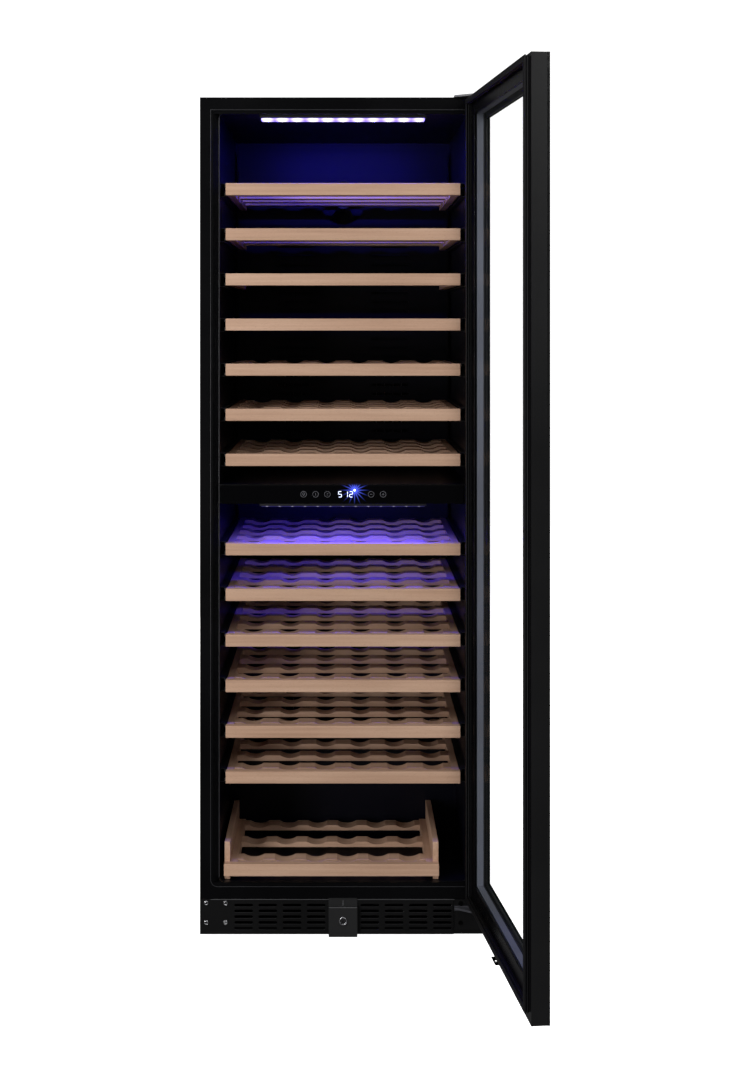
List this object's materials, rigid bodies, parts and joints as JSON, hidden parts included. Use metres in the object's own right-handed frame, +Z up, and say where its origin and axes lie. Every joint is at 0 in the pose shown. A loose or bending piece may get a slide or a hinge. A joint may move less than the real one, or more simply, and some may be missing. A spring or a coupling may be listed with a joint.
{
  "type": "wine cooler",
  "caption": "Tall free-standing two-zone wine cooler, with an open glass door, sliding beech shelves, a control fascia, a louvred plinth with a lock, and its cooling machinery.",
  "frame": {"origin": "on the floor, at the middle of the cabinet's width and depth, the door left out", "axes": "+X to the right seen from the front, +Y to the back, +Z up; the door opens towards -Y"},
  "size_m": [0.6538, 1.2289, 1.758],
  "materials": {
    "black_steel": "black powder coat, satin",
    "galvanised_steel": "zinc-coated sheet, dull",
    "frame_plastic": "black, semi-gloss",
    "liner_plastic": "black, satin",
    "foam": "rigid foam, matt",
    "fascia": "piano black, high gloss",
    "electronics": "solder-masked board, satin",
    "led": "diffusing, lit",
    "fins": "mill finish",
    "dark_plastic": "moulded, matt",
    "runner_steel": "zinc-plated, satin",
    "beech": "sanded, unvarnished beech",
    "screw_steel": "zinc-plated",
    "lock_steel": "black, satin",
    "hinge_steel": "satin",
    "door_aluminium": "black anodised, satin",
    "glass": "clear, polished",
    "spacer": "satin",
    "gasket_rubber": "soft, matt",
    "comp_paint": "black enamel",
    "comp_rubber": "matt",
    "copper": "drawn tube, slightly tarnished"
  },
  "bodies": {
    "cabinet": {"outer_shell": "black_steel", "rear_panel": "galvanised_steel", "base_pan": "galvanised_steel", "front_frame": "frame_plastic", "insulation_foam": "foam", "liner_upper": "liner_plastic", "liner_lower": "liner_plastic", "zone_divider": "foam", "control_fascia": "fascia", "display_module": "electronics", "led_bar_upper": "led", "led_bar_lower": "led", "duct_cover_upper": "liner_plastic", "duct_cover_lower": "liner_plastic", "evaporators": "fins", "fan_motors": "dark_plastic", "shelf_runners": "runner_steel", "bottom_shelf": "beech", "kick_grille": "dark_plastic", "screws": "screw_steel", "lock_housing": "dark_plastic", "hinge_bracket_upper": "hinge_steel", "hinge_bracket_lower": "hinge_steel", "compressor": "comp_paint", "compressor_mounts": "comp_rubber", "condenser": "fins", "condenser_shroud": "dark_plastic", "refrigerant_pipes": "copper", "rear_grille": "galvanised_steel", "power_inlet": "dark_plastic"},
    "shelf_01": {"shelf_01": "beech"},
    "shelf_02": {"shelf_02": "beech"},
    "shelf_03": {"shelf_03": "beech"},
    "shelf_04": {"shelf_04": "beech"},
    "shelf_05": {"shelf_05": "beech"},
    "shelf_06": {"shelf_06": "beech"},
    "shelf_07": {"shelf_07": "beech"},
    "shelf_08": {"shelf_08": "beech"},
    "shelf_09": {"shelf_09": "beech"},
    "shelf_10": {"shelf_10": "beech"},
    "shelf_11": {"shelf_11": "beech"},
    "shelf_12": {"shelf_12": "beech"},
    "shelf_13": {"shelf_13": "beech"},
    "door": {"door_frame": "door_aluminium", "door_glass_outer": "glass", "door_glass_inner": "glass", "glass_spacer": "spacer", "door_trim": "frame_plastic", "door_gasket": "gasket_rubber", "door_hinge_blocks": "dark_plastic", "lock_strike": "hinge_steel"},
    "lock_cylinder": {"lock_cylinder": "lock_steel"},
    "lock_bolt": {"lock_bolt": "screw_steel"},
    "fan_rotor_upper": {"fan_rotor_upper": "dark_plastic"},
    "fan_rotor_lower": {"fan_rotor_lower": "dark_plastic"},
    "condenser_fan_rotor": {"condenser_fan_rotor": "dark_plastic"},
    "foot_front_left": {"foot_front_left": "dark_plastic"},
    "foot_front_right": {"foot_front_right": "dark_plastic"},
    "foot_rear_left": {"foot_rear_left": "dark_plastic"},
    "foot_rear_right": {"foot_rear_right": "dark_plastic"}
  },
  "joints": [
    {"name": "door_hinge", "type": "hinge", "parent": "cabinet", "child": "door", "pos_m": [0.283, -0.342, 0.9], "axis": [0, 0, 1], "range_deg": [-96, 14]},
    {"name": "shelf_slide_01", "type": "slide", "parent": "cabinet", "child": "shelf_01", "axis": [0, -1, 0], "range_m": [0, 0.3]},
    {"name": "shelf_slide_02", "type": "slide", "parent": "cabinet", "child": "shelf_02", "axis": [0, -1, 0], "range_m": [0, 0.3]},
    {"name": "shelf_slide_03", "type": "slide", "parent": "cabinet", "child": "shelf_03", "axis": [0, -1, 0], "range_m": [0, 0.3]},
    {"name": "shelf_slide_04", "type": "slide", "parent": "cabinet", "child": "shelf_04", "axis": [0, -1, 0], "range_m": [0, 0.3]},
    {"name": "shelf_slide_05", "type": "slide", "parent": "cabinet", "child": "shelf_05", "axis": [0, -1, 0], "range_m": [0, 0.3]},
    {"name": "shelf_slide_06", "type": "slide", "parent": "cabinet", "child": "shelf_06", "axis": [0, -1, 0], "range_m": [0, 0.3]},
    {"name": "shelf_slide_07", "type": "slide", "parent": "cabinet", "child": "shelf_07", "axis": [0, -1, 0], "range_m": [0, 0.3]},
    {"name": "shelf_slide_08", "type": "slide", "parent": "cabinet", "child": "shelf_08", "axis": [0, -1, 0], "range_m": [0, 0.3]},
    {"name": "shelf_slide_09", "type": "slide", "parent": "cabinet", "child": "shelf_09", "axis": [0, -1, 0], "range_m": [0, 0.3]},
    {"name": "shelf_slide_10", "type": "slide", "parent": "cabinet", "child": "shelf_10", "axis": [0, -1, 0], "range_m": [0, 0.3]},
    {"name": "shelf_slide_11", "type": "slide", "parent": "cabinet", "child": "shelf_11", "axis": [0, -1, 0], "range_m": [0, 0.3]},
    {"name": "shelf_slide_12", "type": "slide", "parent": "cabinet", "child": "shelf_12", "axis": [0, -1, 0], "range_m": [0, 0.3]},
    {"name": "shelf_slide_13", "type": "slide", "parent": "cabinet", "child": "shelf_13", "axis": [0, -1, 0], "range_m": [0, 0.3]},
    {"name": "lock_turn", "type": "hinge", "parent": "cabinet", "child": "lock_cylinder", "pos_m": [0, -0.31, 0.039], "axis": [0, 1, 0], "range_deg": [0, 90]},
    {"name": "lock_lift", "type": "slide", "parent": "cabinet", "child": "lock_bolt", "axis": [0, 0, 1], "range_m": [0, 0.006]},
    {"name": "fan_spin_upper", "type": "hinge", "parent": "cabinet", "child": "fan_rotor_upper", "pos_m": [0, 0.232, 1.57], "axis": [0, -1, 0], "continuous": true},
    {"name": "fan_spin_lower", "type": "hinge", "parent": "cabinet", "child": "fan_rotor_lower", "pos_m": [0, 0.232, 0.7725], "axis": [0, -1, 0], "continuous": true},
    {"name": "condenser_fan_spin", "type": "hinge", "parent": "cabinet", "child": "condenser_fan_rotor", "pos_m": [0.145, 0.169, 0.1075], "axis": [0, -1, 0], "continuous": true},
    {"name": "level_front_left", "type": "slide", "parent": "cabinet", "child": "foot_front_left", "axis": [0, 0, -1], "range_m": [0, 0.015]},
    {"name": "level_front_right", "type": "slide", "parent": "cabinet", "child": "foot_front_right", "axis": [0, 0, -1], "range_m": [0, 0.015]},
    {"name": "level_rear_left", "type": "slide", "parent": "cabinet", "child": "foot_rear_left", "axis": [0, 0, -1], "range_m": [0, 0.015]},
    {"name": "level_rear_right", "type": "slide", "parent": "cabinet", "child": "foot_rear_right", "axis": [0, 0, -1], "range_m": [0, 0.015]}
  ],
  "couplings": [
    {"joint": "lock_lift", "follows": "lock_turn", "m_per_rad": 0.0038}
  ]
}
